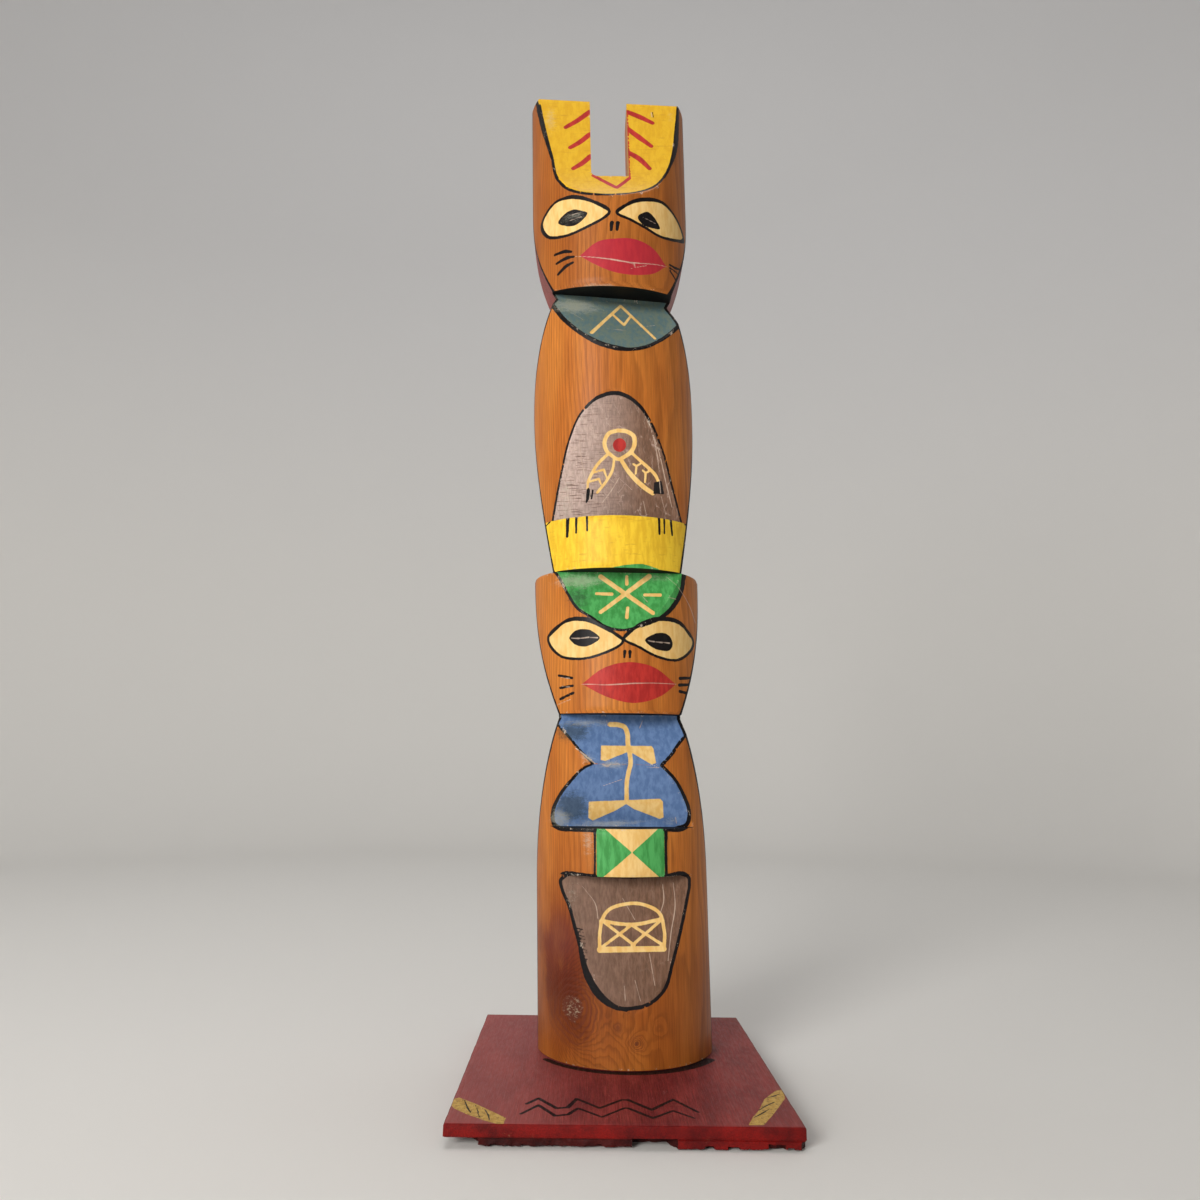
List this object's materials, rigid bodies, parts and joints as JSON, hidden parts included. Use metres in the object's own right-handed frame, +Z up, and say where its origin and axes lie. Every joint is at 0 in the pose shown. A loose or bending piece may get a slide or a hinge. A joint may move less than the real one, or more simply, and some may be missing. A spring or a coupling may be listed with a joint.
{
  "type": "totem pole",
  "caption": "Carved and painted wooden totem pole, half round in front with a flat back, standing on a thin rectangular base board.",
  "frame": {"origin": "centre of the base board's underside", "axes": "+X to the viewer's right, +Y towards the flat back, +Z up; the carved front faces -Y"},
  "size_m": [0.127, 0.1524, 0.4598],
  "materials": {
    "pole_wood": "orange-brown varnished wood with hand-painted symbols in satin enamel",
    "board_paint": "rough-cut wood with dark red satin paint, worn along the edges"
  },
  "bodies": {
    "root": {"totem_pole": "pole_wood", "base_board": "board_paint"}
  },
  "joints": []
}
